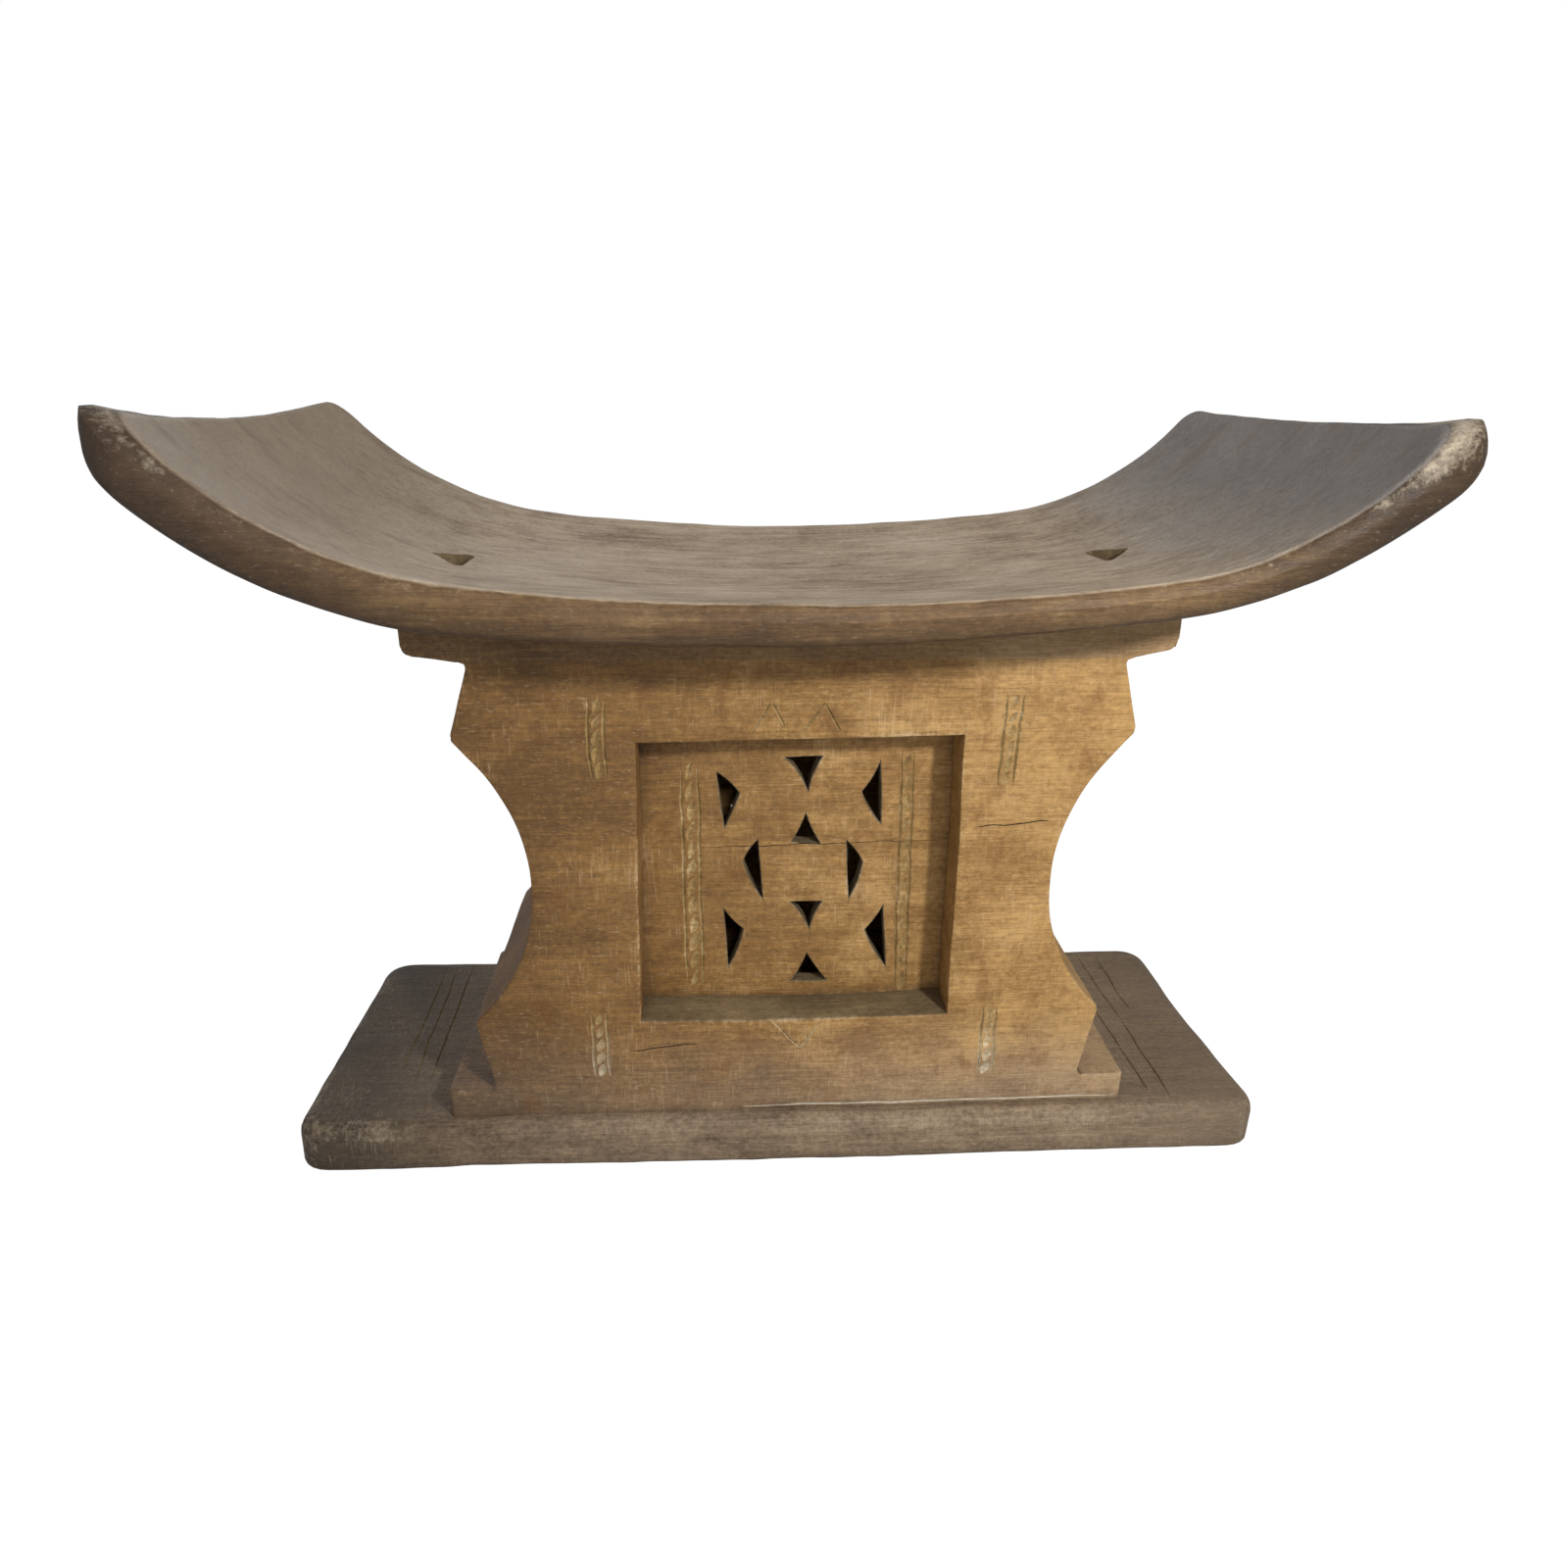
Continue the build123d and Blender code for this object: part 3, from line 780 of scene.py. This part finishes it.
def pierced_panel(name, node, turned):
    """One plate with its holes, made as the front one and turned half round for the back."""
    y_face = frame_low.y + PANEL_RECESS
    holes = [bowed_hole(*hole) for hole in HOLES]
    if turned:
        holes = [
            [tuple(Vector(corner) + BACK_HOLES_SHIFT) for corner in hole[:3]] for hole in HOLES]
    bm = bmesh.new()
    outline = [
        tuple(Vector(corner) + (Vector(corner) - WINDOW_CENTER).normalized() * PANEL_BORDER)
        for corner in WINDOW
    ]
    slab(bm, outline, holes, y_face, y_face + PANEL_THICKNESS)
    for f in bm.faces:
        if abs(f.normal.y) < 0.5:
            f.material_index = DUSTY
    mouths = sharp_edges_along(
        bm, lambda co: touches(co.y, y_face) and (co.xz - WINDOW_CENTER).length < HOLES_REACH)
    round_edges(bm, mouths, HOLE_EDGE_RADIUS, 1)
    twisted_borders(bm, PANEL_BORDERS, y_face, PANEL_TWIST)
    carve_lines(
        bm, [PANEL_CRACK], y_face, PANEL_CRACK_WIDTH, CRACK_DEPTH, CRACK_WOBBLE, material=CRACK,
        bends=30)
    if turned:
        turn_round(bm)
    slice_up(bm)
    mark_wear(bm, reach=PANEL_WEAR_REACH)
    hand_work(bm)
    finish_piece(bm, name, node)


pierced_panel("front_pierced_panel", "front_panel", turned=False)
pierced_panel("back_pierced_panel", "back_panel", turned=True)

# ================================================================ end walls
# The two sides of the hollow column. Their outsides carry on the frames' waisted outline
# without a step, so that the column's ends are one surface from front to back.
WALL_INSIDE = 0.118


def end_wall(name, node, side):
    """One side of the column, between the frames."""
    outer = [(lean(side * x, z), z) for x, z in column_side()]
    inner = [(side * WALL_INSIDE, column_top), (side * WALL_INSIDE, plinth_top)]
    bm = bmesh.new()
    wall_front = frame_low.y + FRAME_DEPTH
    slab(bm, outer + inner, [], wall_front, -wall_front)
    slice_up(bm)
    mark_wear(bm, joints=[(2, plinth_top), (2, column_top), (1, wall_front), (1, -wall_front)])
    hand_work(bm)
    finish_piece(bm, name, node)


end_wall("left_side_wall", "left_end_wall", -1)
end_wall("right_side_wall", "right_end_wall", 1)

# ================================================================ seat platform
# The thin slab between column and seat. It sticks out past the column in two blunt ears,
# and its faces run flush into the column's.
EAR_LEFT = -0.2021
EAR_RIGHT = 0.2027
EAR_LEFT_RISE = 0.0035
EAR_RIGHT_RISE = 0.0045
EAR_LEFT_RADIUS = 0.0045
EAR_RIGHT_RADIUS = 0.006
EAR_SIDE = 0.02              # how far up the column's top the ears' ends reach at least
EAR_RUN = 0.2015             # how far along the seat's curve the platform's top runs
EAR_EDGE = 0.0012
LEFT_START = 0.003           # where the ears' undersides begin, from the foot's edge
RIGHT_START = 0.0015
SEAT_OVERLAP = 0.0215        # how far below the seat's rim line the platform's top lies

# the seat's curve: nearly flat in the middle and bent up in a narrower arc at both ends
SEAT_FLAT_HALF = 0.163
SEAT_FLAT_RADIUS = 1.360
SEAT_END_RADIUS = 0.197
SEAT_END_ANGLE = radians(50.8)
RIM_HEIGHT = 0.041           # how far its rim line lies above the column's top in the middle
JOINT_ANGLE = asin(SEAT_FLAT_HALF / SEAT_FLAT_RADIUS)
rim_level = column_top + RIM_HEIGHT
FLAT_LENGTH = SEAT_FLAT_RADIUS * JOINT_ANGLE
HALF_LENGTH = FLAT_LENGTH + SEAT_END_RADIUS * (SEAT_END_ANGLE - JOINT_ANGLE)


def rocker(along, below):
    """The point a way along the seat's curve from its middle, and a way below its rim line."""
    way = -1 if along < 0 else 1
    run = abs(along)
    if run < FLAT_LENGTH:
        angle = run / SEAT_FLAT_RADIUS
        center = Vector((0, rim_level + SEAT_FLAT_RADIUS))
        radius = SEAT_FLAT_RADIUS
    else:
        angle = JOINT_ANGLE + (run - FLAT_LENGTH) / SEAT_END_RADIUS
        radius = SEAT_END_RADIUS
        center = Vector((
            SEAT_FLAT_HALF - SEAT_END_RADIUS * sin(JOINT_ANGLE),
            rim_level + SEAT_FLAT_RADIUS - (SEAT_FLAT_RADIUS - SEAT_END_RADIUS) * cos(JOINT_ANGLE)))
    spoke = Vector((sin(angle), -cos(angle)))
    point = center + spoke * (radius + below)
    return Vector((way * point.x, point.y))


top_line = [tuple(rocker(EAR_RUN * (1 - i / 12), SEAT_OVERLAP)) for i in range(25)]
platform_outline = [
    (-FOOT_EDGE + LEFT_START, column_top),
    (FOOT_EDGE + RIGHT_START, column_top),
    *rounded(
        (FOOT_EDGE, column_top), (EAR_RIGHT, column_top + EAR_RIGHT_RISE),
        (EAR_RIGHT, column_top + EAR_SIDE), EAR_RIGHT_RADIUS),
    (EAR_RIGHT, top_line[0][1]),
    *top_line[1:-1],
    (EAR_LEFT, top_line[-1][1]),
    *rounded(
        (EAR_LEFT, column_top + EAR_SIDE), (EAR_LEFT, column_top + EAR_LEFT_RISE),
        (-FOOT_EDGE, column_top), EAR_LEFT_RADIUS),
]
CORD_HOLE_NEAR = 0.1830
CORD_HOLE_WIDTH = 0.0185
CORD_HOLE_HALF_LENGTH = 0.0235
CORD_HOLE_CENTER_Y = -0.002
CORD_HOLE_CORNER_RADIUS = 0.0025
CORD_HOLE_BELOW = 0.01       # the cutters begin this far below the column's top
CORD_HOLE_HEIGHT = 0.09


def cord_hole_cutters():
    """The two three-cornered holes that run down through seat and platform."""
    holes = bmesh.new()
    for side in (-1, 1):
        corners = [
            (side * CORD_HOLE_NEAR, CORD_HOLE_CENTER_Y - CORD_HOLE_HALF_LENGTH),
            (side * (CORD_HOLE_NEAR + CORD_HOLE_WIDTH), CORD_HOLE_CENTER_Y),
            (side * CORD_HOLE_NEAR, CORD_HOLE_CENTER_Y + CORD_HOLE_HALF_LENGTH),
        ]
        outline = []
        for i in range(3):
            outline += rounded(
                corners[i - 1], corners[i], corners[(i + 1) % 3], CORD_HOLE_CORNER_RADIUS)
        foot = column_top - CORD_HOLE_BELOW
        face = holes.faces.new([holes.verts.new((x, y, foot)) for x, y in outline])
        draw_out(holes, [face], (0, 0, CORD_HOLE_HEIGHT))
    for f in holes.faces:
        f.material_index = DUSTY
    bmesh.ops.recalc_face_normals(holes, faces=holes.faces[:])
    return holes


platform = bmesh.new()
slab(platform, platform_outline, [], front_y, back_y)
ear_edges = [
    e for e in sharp_edges_along(
        platform, lambda co: abs(co.x) > FOOT_EDGE + 0.001 and co.z < column_top + 0.03)
    if touches(e.verts[0].co.y, e.verts[1].co.y)
]
round_edges(platform, ear_edges, EAR_EDGE, 2)
carve_out(platform, cord_hole_cutters())
slice_up(platform)
mark_wear(platform, joints=[(2, column_top)])
hand_work(platform)
finish_piece(
    platform, "seat_platform_slab", "seat_platform",
    woods=(platform_wood, cut_wood, crack_wood, dusty_wood))

# ================================================================ seat
# One wide plank, carved with both ends curved up and dished from front to back. No edge is
# quite true: its ends are thicker than its middle, its left front tip runs out furthest, and
# its rims are chipped pale.
SEAT_HALF_DEPTH = 0.1546
SEAT_THICKNESS = 0.020
SEAT_DISH = 0.014            # how deep the sitting face is hollowed from front to back
SEAT_BELLY = 0.011           # how far the underside bulges between its front and back edge
DISH_LESS = 0.22             # the dish is that share shallower at the right end, deeper left
BELLY_LESS = 0.004           # and the belly that much
SEAT_CORNER_RADII = (0.024, 0.015)   # front, back
SEAT_TOP_RADIUS = 0.0022
SEAT_FOOT_RADIUS = 0.0035
RIM_BAND = 0.0045            # how far the rim's worn upper band leans back from its ridge
RIM_LEAN = 0.0040            # how far its lower part leans back
RIM_RIDGE = 0.38             # how far down the rim its ridge lies, as a share
TIP_LENGTH = 0.022           # over this length the ends' upper edge runs out further
LEFT_TIPS = (0.0138, 0.0072, 0.0047)     # at the front, half way back and at the back
RIGHT_TIPS = (0.0080, 0.0, -0.0030)
LEFT_TIP_HIGHER = 0.0045     # the left front tip turns up a little more
NOSE_DRAWN = 0.65            # the front tips' upper edge runs out that share less
END_INSET = 0.3              # how strongly the rim's worn band leans back on the ends
FRONT_INSET = 1.7            # and how much more at the front tips
LEFT_FOOT_SHORTER = 0.0035   # the left end's lower edge draws back
LEFT_END_EXTRA = 0.0090      # the left end is that much thicker than the middle
RIGHT_END_EXTRA = 0.0080
RIGHT_SIDE_LESS = 0.0022     # and the seat is thinner half way to its right end
RIGHT_END_LONGER = 0.0045
CURVE_SHIFT = 0.0038         # the curve's low point lies that far to the right
OPEN_FADE = 12.0             # how fast the open top's grey ends on the rim
WEAR_DOWN = 0.40             # how far down the rim it is chipped, as a share
TIP_WEAR_DOWN = 0.9          # and how much further at the front tips
WEAR_INWARD = 0.0014         # how far in from the rim
WEAR = 0.95                  # how strongly it is chipped
TIP_WEAR = 0.75              # and how much more at the front tips
BITE_DEPTH = 0.0012          # how deep the chips are at the front tips
BITE_SIZE = 0.009
CRUMB_SIZE = 0.0035

# weathered hardwood, grey on top where it lies open and brown on the rims and below; the
# right end of its rim is painted near black as painted shade
seat_wood = aged_wood(
    "weathered_hardwood", tones=("#4A3620", "#694F32", "#8A6E48"),
    open_tones=("#766249", "#B29D82", "#D0BEA4"), worn="#B8AA93", dirt_and_shade="#33261A",
    end_tones=(("#958672", "#6D6D6E"), ("#44362A", "#261E15")), roughness=0.6,
    stain=("#6B543E", (60, 22, 60), 0.35), weights=(0.6, 0.3, 0.5, 0.3, 0.4), scrapes=(0.15, 0))

seat = bmesh.new()
bmesh.ops.create_cube(seat, size=2.0)
bmesh.ops.scale(
    seat, vec=(HALF_LENGTH, SEAT_HALF_DEPTH, SEAT_THICKNESS / 2), verts=seat.verts[:])
bmesh.ops.translate(seat, vec=(0, 0, -SEAT_THICKNESS / 2), verts=seat.verts[:])
for behind, radius in enumerate(SEAT_CORNER_RADII):
    corners = [e for e in upright_edges(seat) if (e.verts[0].co.y > 0) == behind]
    round_edges(seat, corners, radius, 9)
for level, radius in ((0.0, SEAT_TOP_RADIUS), (-SEAT_THICKNESS, SEAT_FOOT_RADIUS)):
    round_edges(seat, edges_along(seat, lambda co: touches(co.z, level)), radius, 3)
slice_up(seat, 0.0025, axes=(2,))
slice_up(seat, 0.0035, axes=(1, 0))
seat.normal_update()
wear = seat.verts.layers.float.new("wear")
lies_open = seat.verts.layers.float.new("open")
under = seat.verts.layers.float.new("under")
for v in seat.verts:
    to_side = SEAT_HALF_DEPTH - abs(v.co.y)
    to_end = HALF_LENGTH - abs(v.co.x)
    from_rim = min(to_side, to_end)
    radius = SEAT_CORNER_RADII[v.co.y > 0]
    if max(to_side, to_end) < radius:
        from_rim = radius - hypot(radius - to_side, radius - to_end)
    down = -v.co.z / SEAT_THICKNESS
    tip = abs(v.co.x / HALF_LENGTH) ** 4 * max(0.0, -v.co.y / SEAT_HALF_DEPTH)
    v[lies_open] = max(0.0, 1.0 - OPEN_FADE * down)
    chipped_down = max(0.0, 1.0 - down / (WEAR_DOWN + TIP_WEAR_DOWN * tip))
    chipped_in = max(0.0, 1.0 - from_rim / WEAR_INWARD)
    v[wear] = chipped_down * chipped_in * (WEAR + TIP_WEAR * tip)
    # how far down the seat a point lies, for the painted shade on its lower rim and underside
    v[under] = down
for v in seat.verts:
    along, y, below = v.co.x, v.co.y, -v.co.z
    share = y / SEAT_HALF_DEPTH
    end = along / HALF_LENGTH
    way = -1 if end < 0 else 1
    ahead = max(0.0, -share)
    behind = max(0.0, share)
    crown = 1 - share * share
    down = below / SEAT_THICKNESS
    inset = RIM_BAND * max(0.0, 1 - down / RIM_RIDGE) ** 1.5
    inset += RIM_LEAN * max(0.0, (down - RIM_RIDGE) / (1 - RIM_RIDGE)) ** 1.3
    y *= 1 - inset / SEAT_HALF_DEPTH
    front, half_way, back = LEFT_TIPS if end < 0 else RIGHT_TIPS
    longer = half_way + (front - half_way) * ahead + (back - half_way) * behind
    near_tip = max(0.0, 1 - (HALF_LENGTH - abs(along)) / TIP_LENGTH)
    nose = (1 - down ** 1.8) * (1 - NOSE_DRAWN * ahead * max(0.0, 1 - down / RIM_RIDGE))
    along += way * longer * nose * near_tip ** 1.5
    leaning = END_INSET + FRONT_INSET * ahead if down < RIM_RIDGE else 1
    along -= way * inset * abs(end) ** 8 * leaning
    along += RIGHT_END_LONGER * max(0.0, end) ** 4
    along += LEFT_FOOT_SHORTER * down * near_tip * (end < 0)
    dish = SEAT_DISH * (1 - DISH_LESS * end)
    belly = SEAT_BELLY - BELLY_LESS * end * abs(end)
    extra = LEFT_END_EXTRA * abs(end) ** 1.6
    if end > 0:
        extra = RIGHT_END_EXTRA * end ** 5 - RIGHT_SIDE_LESS * sin(pi * end)
    below += (1 - down) * dish * crown + down * (belly * crown + extra)
    place = rocker(along, below)
    lift = LEFT_TIP_HIGHER * max(0.0, -end) ** 9 * ahead ** 0.7
    v.co = Vector((place.x + CURVE_SHIFT * (1 - abs(end) ** 3), y, place.y + lift))
    chip = v[wear]
    if chip > 0.1:
        rough = noise.noise(v.co / BITE_SIZE) + 0.6 * noise.noise(v.co / CRUMB_SIZE)
        bite = BITE_DEPTH * ahead ** 8
        v.co -= Vector((0, share, 0.8)) * bite * min(1.0, chip) * max(0.0, rough)
hand_work(seat)
carve_out(seat, cord_hole_cutters())
finish_piece(
    seat, "curved_seat", "seat", woods=(seat_wood, cut_wood, crack_wood, dusty_wood))

# ================================================================ floor, light and camera
# A plain pale floor that keeps the stool's soft shadow, one soft key light from the front
# right, a weak fill behind, and a camera just above the seat.
floor_mesh = bmesh.new()
bmesh.ops.create_grid(floor_mesh, x_segments=2, y_segments=2, size=6.0)
mesh = bpy.data.meshes.new("floor")
floor_mesh.to_mesh(mesh)
floor_mesh.free()
floor = bpy.data.objects.new("floor", mesh)
bpy.context.scene.collection.objects.link(floor)
pale_floor = bpy.data.materials.new("pale_floor")
pale_floor.use_nodes = True
tree = pale_floor.node_tree
tree.nodes.clear()
seen = add_node(tree, "LightPath", output="Is Camera Ray")
plain = add_node(tree, "BsdfDiffuse", {"Color": colour("#D8D8D8")})
faint = add_node(tree, "BsdfDiffuse", {"Color": colour("#808080")})
glow = add_node(tree, "Emission", {"Color": colour("#FFFFFF"), "Strength": 0.95})
bright = add_node(tree, "AddShader", {0: faint, 1: glow})
surface = add_node(tree, "MixShader", {"Fac": seen, 1: plain, 2: bright})
end_node = tree.nodes.new("ShaderNodeOutputMaterial")
tree.links.new(surface, end_node.inputs["Surface"])
mesh.materials.append(pale_floor)

world = bpy.data.worlds.new("studio")
world.use_nodes = True
bpy.context.scene.world = world
tree = world.node_tree
tree.nodes.clear()
seen = add_node(tree, "LightPath", output="Is Camera Ray")
room = add_node(tree, "Background", {"Color": colour("#F4F6FF"), "Strength": 0.30})
white = add_node(tree, "Background", {"Color": colour("#FFFFFF"), "Strength": 1.0})
shown = add_node(tree, "MixShader", {"Fac": seen, 1: room, 2: white})
end_node = tree.nodes.new("ShaderNodeOutputWorld")
tree.links.new(shown, end_node.inputs["Surface"])

LIT_POINT = Vector((0, 0, 0.2))      # what the lamps are turned to
# each lamp: its name, its watts, how wide it is and where it hangs
LAMPS = (
    ("key", 5.4, 0.07, Vector((0.36, -0.72, 0.65))),
    ("front_fill", 12, 1.8, Vector((-0.3, -2.1, 1.3))),
    ("back_fill", 14, 1.6, Vector((-1.2, 2.0, 1.3))),
)
for name, watts, width, place in LAMPS:
    light = bpy.data.lights.new(name, "AREA")
    light.energy = watts
    light.size = width
    lamp = bpy.data.objects.new(name, light)
    lamp.location = place
    lamp.rotation_euler = (place - LIT_POINT).to_track_quat("Z", "Y").to_euler()
    lamp.visible_camera = False
    bpy.context.scene.collection.objects.link(lamp)

CAMERA_PLACE = Vector((-0.03956, -0.63410, 0.44130))
CAMERA_YAW = radians(3.513)
CAMERA_PITCH = radians(20.213)
CAMERA_ROLL = radians(0.469)
camera = bpy.data.cameras.new("camera")
camera.sensor_width = 36.0
camera.lens = 24.75
camera.clip_start = 0.01
eye = bpy.data.objects.new("camera", camera)
forward = Vector((
    sin(CAMERA_YAW) * cos(CAMERA_PITCH), cos(CAMERA_YAW) * cos(CAMERA_PITCH), -sin(CAMERA_PITCH)))
right = forward.cross(Vector((0, 0, 1))).normalized()
up = right.cross(forward)
rolled_right = right * cos(CAMERA_ROLL) + up * sin(CAMERA_ROLL)
rolled_up = up * cos(CAMERA_ROLL) - right * sin(CAMERA_ROLL)
turn = Matrix((rolled_right, rolled_up, -forward)).transposed()
eye.matrix_world = Matrix.Translation(CAMERA_PLACE) @ turn.to_4x4()
bpy.context.scene.collection.objects.link(eye)
bpy.context.scene.camera = eye
bpy.context.scene.view_settings.view_transform = "Standard"
